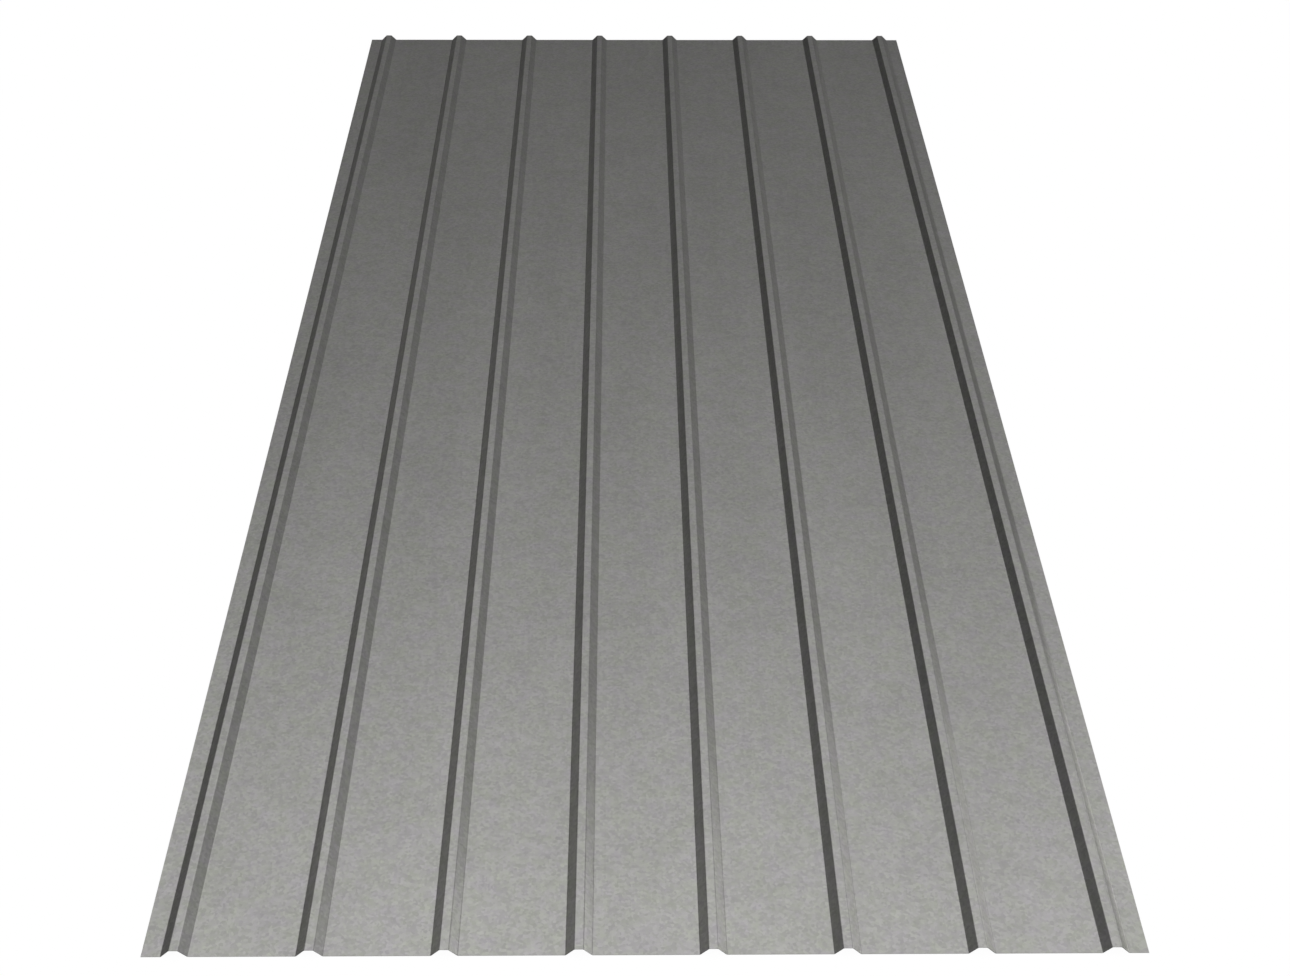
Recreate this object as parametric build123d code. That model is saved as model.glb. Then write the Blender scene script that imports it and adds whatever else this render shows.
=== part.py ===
from build123d import *
import os

# Steel roofing sheet, roll-formed with low ribs, lying with its ribs upward.
# X runs across the ribs, Y runs along them, and Z points up.
# The origin is under the middle of the sheet, on the plane that the flat pans rest on.

# Sheet layout, in millimetres
sheet_length = 2000
cover_width = 850  # between the centres of the two outermost ribs
rib_count = 8
edge_margin = 30  # from the centre of an outermost rib to the side edge

# Rib section, along the underside of the sheet between its sharp corners
rib_height = 8
rib_base_width = 24
rib_crown_width = 8

# Strip that the sheet is formed from
sheet_thickness = 0.4
inside_bend_radius = 2

rib_pitch = cover_width / (rib_count - 1)
side_edge = cover_width / 2 + edge_margin
outside_bend_radius = inside_bend_radius + sheet_thickness


def rib_corners(rib_centre):
    """Give the underside corners of one rib, from its left foot over its crown."""
    half_base = rib_base_width / 2
    half_crown = rib_crown_width / 2
    return [
        (rib_centre - half_base, 0),
        (rib_centre - half_crown, rib_height),
        (rib_centre + half_crown, rib_height),
        (rib_centre + half_base, 0),
    ]


def underside_line():
    """Draw the underside of the formed strip from one side edge to the other."""
    # A foot bends the strip upward, so the underside is outside that bend.
    # A crown corner bends it back, so the underside is inside that bend.
    rib_radii = [
        outside_bend_radius,
        inside_bend_radius,
        inside_bend_radius,
        outside_bend_radius,
    ]
    corners = []
    for rib in range(rib_count):
        corners += rib_corners(rib * rib_pitch - cover_width / 2)
    return FilletPolyline(
        (-side_edge, 0),
        *corners,
        (side_edge, 0),
        radius=rib_radii * rib_count,
    )


def profiled_sheet():
    """Form the sheet: thicken the bent line into a section and run it along the ribs."""
    with BuildPart() as sheet:
        with BuildSketch(Plane.XZ):
            with BuildLine():
                underside = underside_line()
                offset(underside, amount=sheet_thickness, side=Side.LEFT)
            make_face()
        extrude(amount=sheet_length / 2, both=True)
    return sheet.part


os.makedirs("parts", exist_ok=True)
export_step(profiled_sheet(), "parts/profiled_sheet.step")
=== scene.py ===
# %% [markdown]
# # A ribbed steel roofing sheet
# The object is one strip of thin steel with a metallic coating. Rollers have pressed eight low
# ribs into it, and a shear has cut it to length. In the photograph it lies flat on a white floor
# and the camera looks down along its ribs. There are three things to make: the formed sheet, its
# coating, and a soft light for that coating to pick up.

# %% Load the model
import bpy
from math import degrees, pi, radians
from mathutils import Matrix, Vector


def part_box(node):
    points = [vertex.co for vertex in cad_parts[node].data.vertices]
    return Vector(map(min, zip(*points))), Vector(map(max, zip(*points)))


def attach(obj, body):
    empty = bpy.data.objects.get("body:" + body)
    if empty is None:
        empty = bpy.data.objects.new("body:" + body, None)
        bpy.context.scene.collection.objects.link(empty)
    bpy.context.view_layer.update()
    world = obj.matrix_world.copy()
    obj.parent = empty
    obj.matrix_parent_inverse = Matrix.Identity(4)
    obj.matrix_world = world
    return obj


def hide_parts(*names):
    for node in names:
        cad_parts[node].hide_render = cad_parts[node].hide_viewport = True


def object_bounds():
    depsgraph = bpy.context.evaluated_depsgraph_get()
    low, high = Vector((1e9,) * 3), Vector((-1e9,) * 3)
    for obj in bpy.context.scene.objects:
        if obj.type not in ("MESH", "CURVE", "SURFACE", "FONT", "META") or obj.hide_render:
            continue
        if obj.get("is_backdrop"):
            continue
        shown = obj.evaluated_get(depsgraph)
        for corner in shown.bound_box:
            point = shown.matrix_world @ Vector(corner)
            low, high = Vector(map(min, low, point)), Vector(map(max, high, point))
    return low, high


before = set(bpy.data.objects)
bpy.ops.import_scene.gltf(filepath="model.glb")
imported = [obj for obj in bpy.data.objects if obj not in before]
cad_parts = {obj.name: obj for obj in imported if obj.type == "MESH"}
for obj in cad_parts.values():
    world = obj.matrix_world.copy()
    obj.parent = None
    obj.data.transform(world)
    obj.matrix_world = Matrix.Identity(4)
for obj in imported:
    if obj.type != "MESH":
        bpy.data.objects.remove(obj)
cad_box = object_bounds()
sheet_low, sheet_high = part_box("profiled_sheet")
sheet_size = sheet_high - sheet_low
print("sheet across, along and up, in metres:", [round(side, 4) for side in sheet_size])

# %% [markdown]
# ## Formulas as nodes
# The sheet's section, its coating and the light around it all follow formulas. Built one node at
# a time, a formula of ten steps takes ten blocks of code. A small class that holds one output
# socket is shorter: Python's operators on it add Math nodes, so a formula reads as a formula.
# Every other node comes from one method, which takes the node's type, its settings and its
# sockets.

# %% A wire, and the graph it belongs to
class Wire:
    """One output socket. An operator on a wire adds a Math node to its graph."""

    def __init__(self, graph, socket):
        self.graph = graph
        self.socket = socket

    def output(self, name):
        """Give another output of the node that this wire comes from."""
        return Wire(self.graph, self.socket.node.outputs[name])

    def apply(self, operation, *others):
        """Use a Math operation that Python has no sign for, with this wire as its first input."""
        return self.graph.math(operation, self, *others)

    def __add__(self, other):
        return self.graph.math("ADD", self, other)

    def __sub__(self, other):
        return self.graph.math("SUBTRACT", self, other)

    def __rsub__(self, other):
        return self.graph.math("SUBTRACT", other, self)

    def __mul__(self, other):
        return self.graph.math("MULTIPLY", self, other)

    def __truediv__(self, other):
        return self.graph.math("DIVIDE", self, other)

    def __mod__(self, other):
        return self.graph.math("MODULO", self, other)

    def __pow__(self, other):
        return self.graph.math("POWER", self, other)

    __radd__ = __add__
    __rmul__ = __mul__


class Graph:
    """A node tree that grows by one method."""

    def __init__(self, tree):
        self.tree = tree

    def add(self, kind, settings, sockets, output=0):
        """Add a node, set it up, fill or link its sockets, and give one of its outputs."""
        node = self.tree.nodes.new(kind)
        for name, value in settings.items():
            setattr(node, name, value)
        for name, value in sockets.items():
            if isinstance(value, Wire):
                self.tree.links.new(value.socket, node.inputs[name])
            else:
                node.inputs[name].default_value = value
        return Wire(self, node.outputs[output]) if node.outputs else node

    def math(self, operation, *operands):
        return self.add("ShaderNodeMath", {"operation": operation}, dict(enumerate(operands)))


# %% [markdown]
# ## The formed sheet
# A roll-formed sheet has one section all the way along. It could be an extruded outline with an
# array of ribs, but then each size is buried in a list of points. The section follows a rule, so
# Geometry Nodes can draw it from its sizes: four corners for each rib, every corner rounded to
# the bend radius, and a flat bar as long as the sheet swept along that line. The line is the
# middle of the strip's thickness, where the inside and the outside of a bend share one radius.

# %% Sizes of the section, in metres
rib_count = 8
edge_margin = 0.030
rib_base_width = 0.024
rib_crown_width = 0.008
sheet_thickness = 0.0004
inside_bend_radius = 0.002
bend_steps = 10
rib_height = sheet_size.z - sheet_thickness
cover_width = sheet_size.x - 2 * edge_margin
print("rib height and pitch:", round(rib_height, 5), round(cover_width / (rib_count - 1), 5))

# %% [markdown]
# The tree gets one named input for each size. A fabricator's drawing has the same list, and any
# other sheet of this kind needs only other numbers.

# %% Name the inputs of the sheet's tree
sheet_tree = bpy.data.node_groups.new("roll_formed_sheet", "GeometryNodeTree")
sheet_inputs = {
    "Length": ("NodeSocketFloat", sheet_size.y),
    "Cover Width": ("NodeSocketFloat", cover_width),
    "Edge Margin": ("NodeSocketFloat", edge_margin),
    "Rib Count": ("NodeSocketInt", rib_count),
    "Rib Height": ("NodeSocketFloat", rib_height),
    "Rib Base Width": ("NodeSocketFloat", rib_base_width),
    "Rib Crown Width": ("NodeSocketFloat", rib_crown_width),
    "Thickness": ("NodeSocketFloat", sheet_thickness),
    "Inside Bend Radius": ("NodeSocketFloat", inside_bend_radius),
    "Bend Steps": ("NodeSocketInt", bend_steps),
}
for name, (kind, _) in sheet_inputs.items():
    sheet_tree.interface.new_socket(name, in_out="INPUT", socket_type=kind)
sheet_tree.interface.new_socket("Coating", in_out="INPUT", socket_type="NodeSocketMaterial")
sheet_tree.interface.new_socket("Sheet", in_out="OUTPUT", socket_type="NodeSocketGeometry")
print("inputs of the sheet's tree:", ", ".join(sheet_inputs))

# %% [markdown]
# The corners are numbered from left to right. Point 0 is the left side edge, and the last point
# is the right one. For a point between them, its number gives the rib, and the remainder gives
# the corner of that rib: foot, crown, crown, foot. The two on the crown are the ones near the
# middle of the four numbers, so a single comparison finds both.
#
# The widths are those of the underside, as on the rollers. Half the thickness further out, each
# sharp corner lies a little further from its rib's centre, by that half times the tangent of half
# the bend's angle.

# %% Place the corners of the section
corners_per_rib = 4
middle_of_corners = (corners_per_rib - 1) / 2
reach_of_crown = 0.6


def place_corners(graph, given):
    """Give the number of points on the line, and the place of each."""
    cover = given.output("Cover Width")
    height = given.output("Rib Height")
    half_base = given.output("Rib Base Width") * 0.5
    half_crown = given.output("Rib Crown Width") * 0.5
    half_thickness = given.output("Thickness") * 0.5

    bend_angle = height.apply("ARCTAN2", half_base - half_crown)
    corner_shift = half_thickness * (bend_angle * 0.5).apply("TANGENT")

    number = graph.add("GeometryNodeInputIndex", {}, {})
    rib = ((number - 1) / corners_per_rib).apply("FLOOR")
    corner = (number - 1) % corners_per_rib
    on_crown = corner.apply("COMPARE", middle_of_corners, reach_of_crown)
    right_side = corner.apply("GREATER_THAN", middle_of_corners)
    half_width = half_base + on_crown * (half_crown - half_base) + corner_shift
    pitch = cover / (given.output("Rib Count") - 1)
    corner_x = rib * pitch - cover * 0.5 + (right_side * 2 - 1) * half_width

    last = given.output("Rib Count") * corners_per_rib + 1
    left_edge = number.apply("LESS_THAN", 0.5)
    right_edge = number.apply("GREATER_THAN", last - 0.5)
    edge = left_edge + right_edge
    edge_x = (right_edge - left_edge) * (cover * 0.5 + given.output("Edge Margin"))
    x = corner_x + edge * (edge_x - corner_x)
    z = half_thickness + height * on_crown * (1 - edge)
    place = graph.add("ShaderNodeCombineXYZ", {}, {"X": x, "Z": z})
    return last + 1, place


print("corners and side edges on the line:", rib_count * corners_per_rib + 2)

# %% [markdown]
# Fillet Curve turns each sharp corner into an arc, as the rollers' noses do. Curve to Mesh sweeps
# the bar along the line and closes both ends, so the result is one closed skin and not an open
# sheet with a thickness added later.

# %% Build the tree of the sheet
def build_sheet_tree(tree):
    graph = Graph(tree)
    given = graph.add("NodeGroupInput", {}, {})
    count, place = place_corners(graph, given)
    points = graph.add("GeometryNodeMeshLine", {}, {"Count": count})
    placed = graph.add("GeometryNodeSetPosition", {}, {"Geometry": points, "Position": place})
    line = graph.add("GeometryNodeMeshToCurve", {}, {"Mesh": placed})

    middle_radius = given.output("Inside Bend Radius") + given.output("Thickness") * 0.5
    bends = {"Curve": line, "Radius": middle_radius, "Count": given.output("Bend Steps")}
    rounded = graph.add("GeometryNodeFilletCurve", {"mode": "POLY"}, bends)

    sides = {"Width": given.output("Length"), "Height": given.output("Thickness")}
    bar = graph.add("GeometryNodeCurvePrimitiveQuadrilateral", {}, sides)
    sweep = {"Curve": rounded, "Profile Curve": bar, "Fill Caps": True}
    skin = graph.add("GeometryNodeCurveToMesh", {}, sweep)
    smooth = graph.add("GeometryNodeSetShadeSmooth", {}, {"Geometry": skin})
    whole = graph.add("GeometryNodeRealizeInstances", {}, {"Geometry": smooth})
    finish = {"Geometry": whole, "Material": given.output("Coating")}
    coated = graph.add("GeometryNodeSetMaterial", {}, finish)
    graph.add("NodeGroupOutput", {}, {"Sheet": coated})


build_sheet_tree(sheet_tree)
print("nodes in the sheet's tree:", len(sheet_tree.nodes))

# %% [markdown]
# ## The coating
# The steel has been dipped in molten aluminium and zinc. The layer freezes into crystals, which
# are called the spangle. On a thin sheet they are only about three millimetres wide, so from a
# few steps away the sheet looks finely grained. The coating could be one grey metal with a noise
# on it, but the grain would then be soft. A crystal grows until it meets its neighbours, and that
# is how a Voronoi texture divides space, so each of its cells is one crystal.
#
# Each crystal gets three random numbers, the channels of its cell's colour. They set how light
# it is, how it is tinted, and how glossy it is. The tints come from the very thin film that
# protects the coating in store: it shifts the grey a little towards green or towards lilac. The
# same three numbers, read as a vector, will also tilt the crystal.

# %% Grow the spangle
crystal_width = 0.0030
metal_green = (0.559, 0.572, 0.515)
metal_lilac = (0.579, 0.560, 0.577)


def grow_spangle(graph, place):
    """Give the random numbers of the crystals as a vector, and as three wires."""
    cells = {"Vector": place, "Scale": 1 / crystal_width}
    crystals = graph.add("ShaderNodeTexVoronoi", {}, cells, "Color")
    red = graph.add("ShaderNodeSeparateColor", {}, {"Color": crystals}, "Red")
    return crystals, red, red.output("Green"), red.output("Blue")


print("crystals along the sheet, about:", round(sheet_size.y / crystal_width))

# %% [markdown]
# A crystal of this alloy is a small fern. Its arms run one way inside the crystal and another way
# in the next, which is what makes spangle glitter. Turning the place by a random angle for each
# crystal and reading a Wave texture there draws those arms. The number for the tint gives that
# angle too. The arms are half a millimetre apart, so they only show from close by.

# %% Draw the arms inside the crystals
arm_spacing = 0.0005
arm_waviness = 1.5
wave_bands_per_unit = 20 / (2 * pi)


def draw_arms(graph, place, turn):
    """Give a value from 0 to 1 that rises on each arm."""
    turning = {"Vector": place, "Angle": turn * (2 * pi)}
    turned = graph.add("ShaderNodeVectorRotate", {"rotation_type": "Z_AXIS"}, turning)
    scale = 1 / (arm_spacing * wave_bands_per_unit)
    bands = {"Vector": turned, "Scale": scale, "Distortion": arm_waviness}
    return graph.add("ShaderNodeTexWave", {}, bands, "Fac")


print("arms across a crystal, about:", round(crystal_width / arm_spacing))

# %% [markdown]
# Larger marks lie over the grain. The strip leaves the bath and the rollers lengthways, so there
# are faint streaks along it, and the layer is a little thicker here and there, which shows as
# slow clouds. Crystals that froze together also make small patches, and these are what is left of
# the grain at the far end, where single crystals are too small to see. All three are noises. The
# streaks come from squeezing the place across the sheet before the noise reads it. The patches
# take two channels of one noise, so their tone and their tint don't follow each other.

# %% Lay streaks, clouds and patches over the grain
streak_width = 0.011
streak_length = 0.7
cloud_width = 0.07
cloud_detail = 3.0
patch_width = 0.016
patch_detail = 2.0


def lay_streaks(graph, place):
    """Give a value around 0 that changes quickly across the sheet and slowly along it."""
    squeeze = (1 / streak_width, 1 / streak_length, 1 / streak_width)
    squeezed = graph.add("ShaderNodeMapping", {}, {"Vector": place, "Scale": squeeze})
    return graph.add("ShaderNodeTexNoise", {}, {"Vector": squeezed, "Scale": 1.0}, "Fac") - 0.5


def lay_clouds(graph, place):
    """Give a value around 0 that drifts over the sheet."""
    clouds = {"Vector": place, "Scale": 1 / cloud_width, "Detail": cloud_detail}
    return graph.add("ShaderNodeTexNoise", {}, clouds, "Fac") - 0.5


def lay_patches(graph, place):
    """Give a value around 0 for the tone of the patches, and one for their tint."""
    patches = {"Vector": place, "Scale": 1 / patch_width, "Detail": patch_detail}
    channels = graph.add("ShaderNodeTexNoise", {}, patches, "Color")
    red = graph.add("ShaderNodeSeparateColor", {}, {"Color": channels}, "Red")
    return red - 0.5, red.output("Green") - 0.5


print("patches, clouds and streaks, in mm:", patch_width * 1000, cloud_width * 1000, streak_width * 1000)

# %% [markdown]
# A thin pan between two ribs is never quite flat. It is held along the ribs and buckles very
# slightly between them, and a metal shows that as a slow change of tone. A change in the mesh
# would be less than a tenth of a millimetre, so it is made in the direction of the surface
# instead. The same sum tilts each crystal by a fraction of a degree.

# %% Tilt the surface
crystal_tilt = 0.012
pan_wave_width = 0.10
pan_wave_length = 0.55
pan_tilt = 0.020


def tilt_surface(graph, place, crystals):
    """Give the surface's direction with the tilt of its crystal and its pan."""
    squeeze = (1 / pan_wave_width, 1 / pan_wave_length, 1 / pan_wave_width)
    squeezed = graph.add("ShaderNodeMapping", {}, {"Vector": place, "Scale": squeeze})
    waves = {"Vector": squeezed, "Scale": 1.0, "Detail": 0.0}
    buckling = graph.add("ShaderNodeTexNoise", {}, waves, "Color")
    direction = graph.add("ShaderNodeNewGeometry", {}, {}, "Normal")
    for source, amount in ((crystals, crystal_tilt), (buckling, pan_tilt)):
        about_zero = {0: source, 1: (0.5, 0.5, 0.5)}
        centred = graph.add("ShaderNodeVectorMath", {"operation": "SUBTRACT"}, about_zero)
        small = graph.add("ShaderNodeVectorMath", {"operation": "SCALE"}, {0: centred, "Scale": amount})
        direction = graph.add("ShaderNodeVectorMath", {"operation": "ADD"}, {0: direction, 1: small})
    return graph.add("ShaderNodeVectorMath", {"operation": "NORMALIZE"}, {0: direction})


print("most that a crystal tilts on an axis, in degrees:", round(degrees(crystal_tilt / 2), 2))

# %% [markdown]
# The shear and the slitter cut through the coating, so the four edges of the sheet are bare
# steel, duller and darker than its faces. They are found by their place: a point belongs to a cut
# edge where it lies as far out as the sheet goes.

# %% Find the cut edges
edge_depth = 0.00002


def find_cut_edges(graph, place):
    """Give 1 on the four cut edges and 0 elsewhere."""
    across = graph.add("ShaderNodeSeparateXYZ", {}, {0: place}, "X")
    along = across.output("Y")
    on_side = across.apply("ABSOLUTE").apply("GREATER_THAN", sheet_size.x / 2 - edge_depth)
    on_end = along.apply("ABSOLUTE").apply("GREATER_THAN", sheet_size.y / 2 - edge_depth)
    return on_side.apply("MAXIMUM", on_end)


print("the sides and ends are cut at, in metres:", round(sheet_size.x / 2, 4), round(sheet_size.y / 2, 4))

# %% [markdown]
# The parts come together in one metal shader. Small factors on the colour do more for the look
# than strong contrasts would: from a few steps away real spangle of this size is a fine grain, and
# no single crystal stands out from it. So a crystal is at most a tenth lighter or darker than the
# coating's own grey, and the larger marks change it by less. The roughness varies by even less,
# because in a metal it blurs or sharpens the whole room at once.

# %% Set how much each mark shows
crystal_contrast = 0.20
arm_contrast = 0.05
patch_contrast = 0.17
streak_contrast = 0.04
cloud_contrast = 0.15
crystal_tint = 0.4
patch_tint_strength = 2
coat_roughness = 0.30
crystal_roughness = 0.024
arm_roughness = 0.01
streak_roughness = 0.02
cut_colour = (0.36, 0.35, 0.34)
cut_roughness = 0.48
print("a crystal is lighter or darker by up to:", crystal_contrast / 2)

# %% Make the coating
def build_coating(tree):
    graph = Graph(tree)
    place = graph.add("ShaderNodeTexCoord", {}, {}, "Object")
    crystals, light, film, gloss = grow_spangle(graph, place)
    arms = draw_arms(graph, place, film) - 0.5
    streaks = lay_streaks(graph, place)
    clouds = lay_clouds(graph, place)
    patch_tone, patch_tint = lay_patches(graph, place)
    cut = find_cut_edges(graph, place)

    # A colour Mix node's first factor is socket 0, its colours are 6 and 7, and its result is 2.
    lilac_share = 0.5 + (film - 0.5) * crystal_tint + patch_tint * patch_tint_strength
    tints = {0: lilac_share, 6: metal_green + (1.0,), 7: metal_lilac + (1.0,)}
    metal = graph.add("ShaderNodeMix", {"data_type": "RGBA"}, tints, 2)
    tone = 1 + (light - 0.5) * crystal_contrast + arms * arm_contrast
    tone = tone + patch_tone * patch_contrast + streaks * streak_contrast + clouds * cloud_contrast
    toned = graph.add("ShaderNodeVectorMath", {"operation": "SCALE"}, {0: metal, "Scale": tone})
    bare = {0: cut, 6: toned, 7: cut_colour + (1.0,)}
    colour = graph.add("ShaderNodeMix", {"data_type": "RGBA"}, bare, 2)

    roughness = coat_roughness + (gloss - 0.5) * crystal_roughness
    roughness = roughness + arms * arm_roughness + streaks * streak_roughness
    roughness = roughness + cut * (cut_roughness - roughness)
    surface = {
        "Base Color": colour,
        "Metallic": 1.0,
        "Roughness": roughness,
        "Normal": tilt_surface(graph, place, crystals),
    }
    shader = graph.add("ShaderNodeBsdfPrincipled", {}, surface)
    graph.add("ShaderNodeOutputMaterial", {}, {"Surface": shader})


def new_material(name):
    """Give an empty material with nodes."""
    material = bpy.data.materials.new(name)
    material.use_nodes = True
    material.node_tree.nodes.clear()
    return material


coating = new_material("aluminium_zinc_coating")
build_coating(coating.node_tree)
print("nodes in the coating:", len(coating.node_tree.nodes))

# %% [markdown]
# ## Rolling the sheet
# An empty mesh carries the tree as a modifier, with the sizes set by each input's identifier. A
# second modifier weights the normals by the area of the faces, which keeps the large pans and the
# slopes of the ribs flat up to their bends while the bends stay round. The evaluated result then
# becomes a plain mesh.

# %% Form the sheet
def set_inputs(modifier, tree, values):
    """Set a Geometry Nodes modifier's inputs by name, through their identifiers."""
    for socket in tree.interface.items_tree:
        if socket.in_out == "INPUT" and socket.name in values:
            modifier[socket.identifier] = values[socket.name]


former = bpy.data.objects.new("sheet_former", bpy.data.meshes.new("sheet_former"))
bpy.context.scene.collection.objects.link(former)
rollers = former.modifiers.new("rollers", "NODES")
rollers.node_group = sheet_tree
sizes = {name: value for name, (_, value) in sheet_inputs.items()}
set_inputs(rollers, sheet_tree, {**sizes, "Coating": coating})
flats = former.modifiers.new("flats", "WEIGHTED_NORMAL")
flats.keep_sharp = True

evaluated = former.evaluated_get(bpy.context.evaluated_depsgraph_get())
formed_sheet = bpy.data.objects.new("formed_sheet", bpy.data.meshes.new_from_object(evaluated))
bpy.context.scene.collection.objects.link(formed_sheet)
bpy.data.objects.remove(former)
print("formed sheet:", len(formed_sheet.data.polygons), "faces")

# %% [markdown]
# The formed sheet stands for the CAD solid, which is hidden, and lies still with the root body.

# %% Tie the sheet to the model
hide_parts("profiled_sheet")
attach(formed_sheet, "root")
print("the sheet replaces profiled_sheet")

# %% [markdown]
# ## The floor
# In the photograph the floor is plain white, and it is just as white where it shows under the
# ends of the ribs. A white paint alone would need so much light that the metal would wash out.
# Instead, the paint glows for the rays that come straight from the camera or through glass. A
# small share of it is still plain matte white, so the sheet's soft shadow stays on it. The matte
# share is darker than the glow, whose strength is a little over 1 to make up for that: together
# they are just white.
#
# Reflections see the glow as well, but weakly. Metal this low over a floor mirrors a good deal of
# it in the slopes of its ribs, and the photograph's slopes are dark. The helper that tells those
# rays apart serves the room as well.

# %% Make the floor's paint
glow_share = 0.95
glow_strength = 1.025
glow_mirrored = 0.08
paint_white = 0.90


def rays_that_see_white(graph):
    """Give a wire that is 1 for camera and transmission rays, and one for glossy rays."""
    camera_ray = graph.add("ShaderNodeLightPath", {}, {}, "Is Camera Ray")
    direct = camera_ray.apply("MAXIMUM", camera_ray.output("Is Transmission Ray"))
    return direct, camera_ray.output("Is Glossy Ray")


def build_floor_paint(tree):
    graph = Graph(tree)
    direct, mirrored = rays_that_see_white(graph)
    matte = {"Color": (paint_white, paint_white, paint_white, 1.0)}
    diffuse = graph.add("ShaderNodeBsdfDiffuse", {}, matte)
    full = graph.add("ShaderNodeEmission", {}, {"Strength": glow_strength})
    weak = graph.add("ShaderNodeEmission", {}, {"Strength": glow_mirrored})
    glow = graph.add("ShaderNodeMixShader", {}, {0: direct, 1: weak, 2: full})
    share = direct.apply("MAXIMUM", mirrored) * glow_share
    both = graph.add("ShaderNodeMixShader", {}, {0: share, 1: diffuse, 2: glow})
    graph.add("ShaderNodeOutputMaterial", {}, {"Surface": both})


floor_paint = new_material("floor_paint")
build_floor_paint(floor_paint.node_tree)
print("nodes in the floor's paint:", len(floor_paint.node_tree.nodes))

# %% Lay the floor
floor_half = 60.0
floor_drop = 0.0002
floor_corners = []
for x, y in ((-1, -1), (1, -1), (1, 1), (-1, 1)):
    floor_corners.append((x * floor_half, y * floor_half, -floor_drop))
floor_mesh = bpy.data.meshes.new("floor")
floor_mesh.from_pydata(floor_corners, [], [range(4)])
floor_mesh.materials.append(floor_paint)
floor = bpy.data.objects.new("floor", floor_mesh)
bpy.context.scene.collection.objects.link(floor)
floor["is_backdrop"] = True
print("floor:", floor_half * 2, "m square")

# %% [markdown]
# ## The light around the sheet
# Flat metal has no shading of its own: its tone is whatever part of the room it mirrors. In the
# photograph the near end is light and the far end dark, because the near end mirrors what is
# high overhead and the far end mirrors what is low and ahead. So the room is a dome that is
# bright at the top and falls off towards the horizon. Past dome_top it stays level, a little above
# 1, so from straight above the metal still shows its own colour.
#
# The rib slopes mirror the walls. Those that face right are lighter than those that face left: the
# right wall is light from top to bottom, and the left one only low down. The near wall, behind the
# camera, is low as well and serves the views from the other end. A low light far ahead is for
# views from floor level, where the pans mirror the horizon. It is narrow, because a wide one would
# also lighten the left slopes at the far end.
#
# A sky of a few photographs would do this too. A formula of the ray's direction needs no picture,
# and each wall keeps its own number. A direction's height and its reach to each side run from 0 to
# 1, so a power of it makes a light that falls off: the higher the power, the narrower the light.
# The camera itself sees plain white, and reflections take a small share of that white too. The
# floor's white and the room's are equal at the horizon.

# %% Light the room
dome_top = 0.80
overhead_wide = 0.24
overhead_narrow = 2.38
right_wall = 0.59
left_wall = 1.10
near_wall = 0.40
far_wall = 0.95
wide_dome_power = 2
narrow_dome_power = 4
wide_wall_power = 2
left_wall_power = 8
far_wall_power = 80
low_power = 2
lowest_power = 8
white_seen = 1.0
white_mirrored = 0.02


def build_room(tree):
    graph = Graph(tree)
    direction = graph.add("ShaderNodeTexCoord", {}, {}, "Generated")
    across = graph.add("ShaderNodeSeparateXYZ", {}, {0: direction}, "X")
    along = across.output("Y")
    up = across.output("Z").apply("MAXIMUM", 0.0)
    right = across.apply("MAXIMUM", 0.0)
    left = (across * -1).apply("MAXIMUM", 0.0)
    ahead = along.apply("MAXIMUM", 0.0)
    behind = (along * -1).apply("MAXIMUM", 0.0)

    raised = up.apply("MINIMUM", dome_top)
    overhead = raised ** wide_dome_power * overhead_wide + raised ** narrow_dome_power * overhead_narrow
    low = (1 - up) ** low_power
    lowest = (1 - up) ** lowest_power
    sides = right ** wide_wall_power * right_wall + left ** left_wall_power * low * left_wall
    ends = behind ** wide_wall_power * low * near_wall + ahead ** far_wall_power * lowest * far_wall
    room = graph.add("ShaderNodeBackground", {}, {"Strength": overhead + sides + ends})
    white = graph.add("ShaderNodeBackground", {}, {"Color": (1.0, 1.0, 1.0, 1.0), "Strength": white_seen})
    direct, mirrored = rays_that_see_white(graph)
    share = direct.apply("MAXIMUM", mirrored * white_mirrored)
    both = graph.add("ShaderNodeMixShader", {}, {0: share, 1: room, 2: white})
    graph.add("ShaderNodeOutputWorld", {}, {"Surface": both})


world = bpy.data.worlds.new("studio_room")
world.use_nodes = True
world.node_tree.nodes.clear()
build_room(world.node_tree)
bpy.context.scene.world = world
print("nodes in the room:", len(world.node_tree.nodes))

# %% [markdown]
# At the near end the right-hand slopes are almost as light as the pans, and further along they
# soon darken. A wall far away cannot do that. A long, low softbox beside the sheet can, because
# only the near slopes mirror it. It is no brighter than white paper: in a metal, a small strong
# lamp would show as a glaring spot from other sides. Matte surfaces don't see it at all, so it
# leaves no bright patch on the floor.

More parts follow.
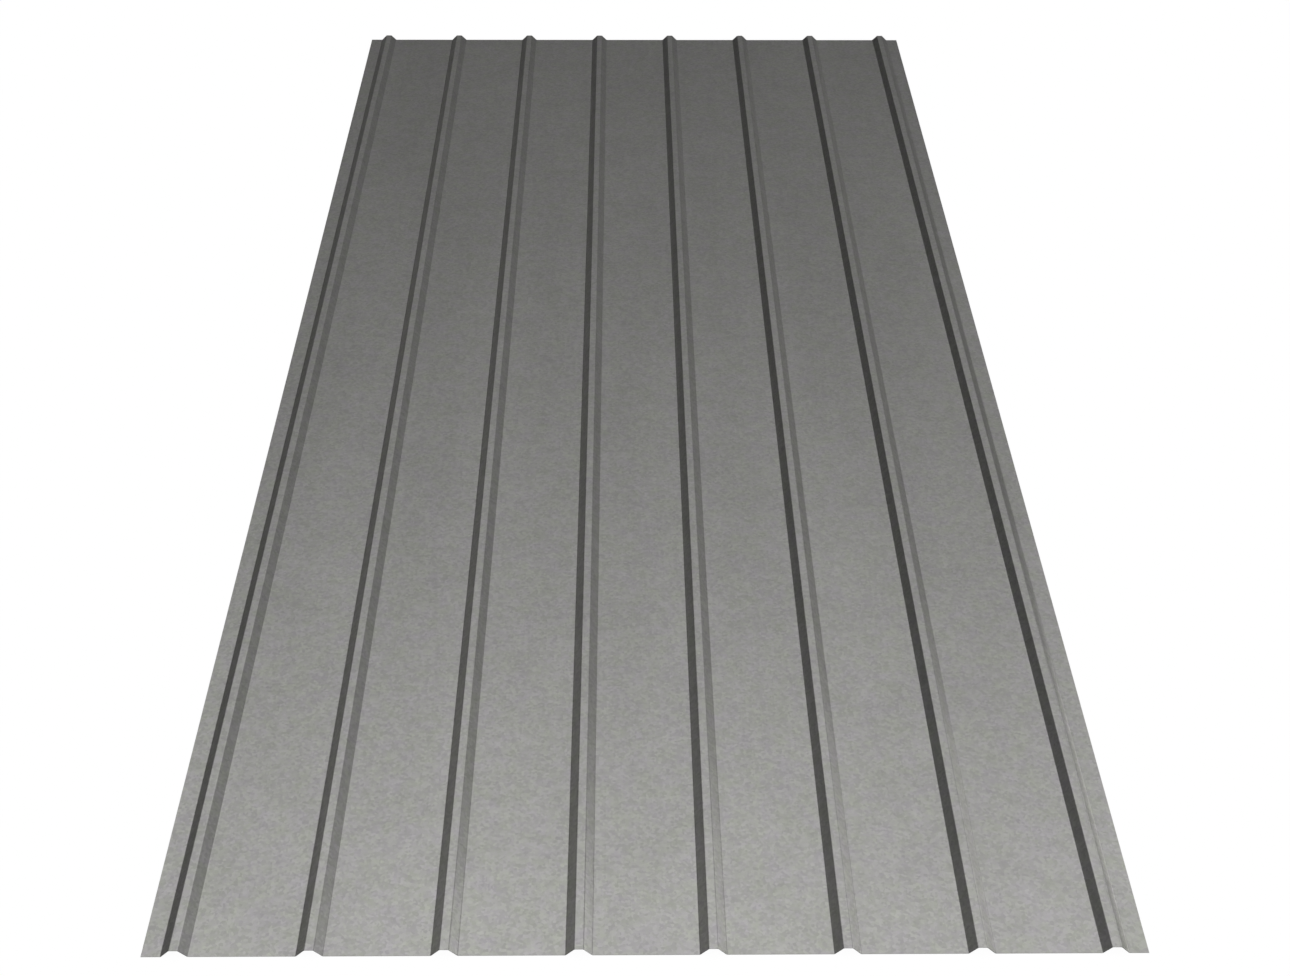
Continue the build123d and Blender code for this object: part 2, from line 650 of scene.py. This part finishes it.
# %% Add the softbox
softbox_place = Vector((1.3, -0.15, 0.21))
softbox_length = 0.9
softbox_height = 0.4
softbox_brightness = 0.9
softbox_data = bpy.data.lights.new("softbox", "AREA")
softbox_data.shape = "RECTANGLE"
softbox_data.size = softbox_length
softbox_data.size_y = softbox_height
softbox_data.energy = pi * softbox_length * softbox_height * softbox_brightness
softbox = bpy.data.objects.new("softbox", softbox_data)
bpy.context.scene.collection.objects.link(softbox)
facing = Vector((-1, 0, 0)).to_track_quat("-Z", "Y").to_matrix().to_4x4()
softbox.matrix_world = Matrix.Translation(softbox_place) @ facing
softbox.visible_camera = False
softbox.visible_diffuse = False
print("softbox power:", round(softbox_data.energy, 2), "W")

# %% [markdown]
# ## The camera
# The ribs are straight and evenly spaced, so their lines in the photograph give the camera away.
# Its place, its aim, a slight roll and its focal length were adjusted until the ribs, the side
# edges and both ends of the sheet fell on the photograph's.

# %% Set the camera
camera_place = Vector((-0.0193, -2.1330, 1.3749))
camera_aim = Vector((0.0056, -0.2972, 0.0))
camera_roll = radians(0.375)
image_width = 1290
focal_length_in_pixels = 1919.1
sensor_width = 36.0
camera_data = bpy.data.cameras.new("camera")
camera_data.sensor_width = sensor_width
camera_data.lens = focal_length_in_pixels / image_width * sensor_width
camera = bpy.data.objects.new("camera", camera_data)
bpy.context.scene.collection.objects.link(camera)
looking = (camera_aim - camera_place).to_track_quat("-Z", "Y").to_matrix().to_4x4()
rolled = Matrix.Rotation(camera_roll, 4, "Z")
camera.matrix_world = Matrix.Translation(camera_place) @ looking @ rolled
bpy.context.scene.camera = camera
bpy.context.scene.view_settings.view_transform = "Standard"
print("lens:", round(camera_data.lens, 2), "mm")

# %% [markdown]
# ## Check the size
# What was made here must not be larger or smaller than the CAD model, so both boxes are measured and
# their difference at each side is printed.

# %% Compare and finish
bpy.context.view_layer.update()
visual_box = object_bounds()
gaps = [round((now - then) * 1000, 3) for a, b in zip(visual_box, cad_box) for now, then in zip(a, b)]
print("difference from the CAD box at each side, in mm:", gaps)
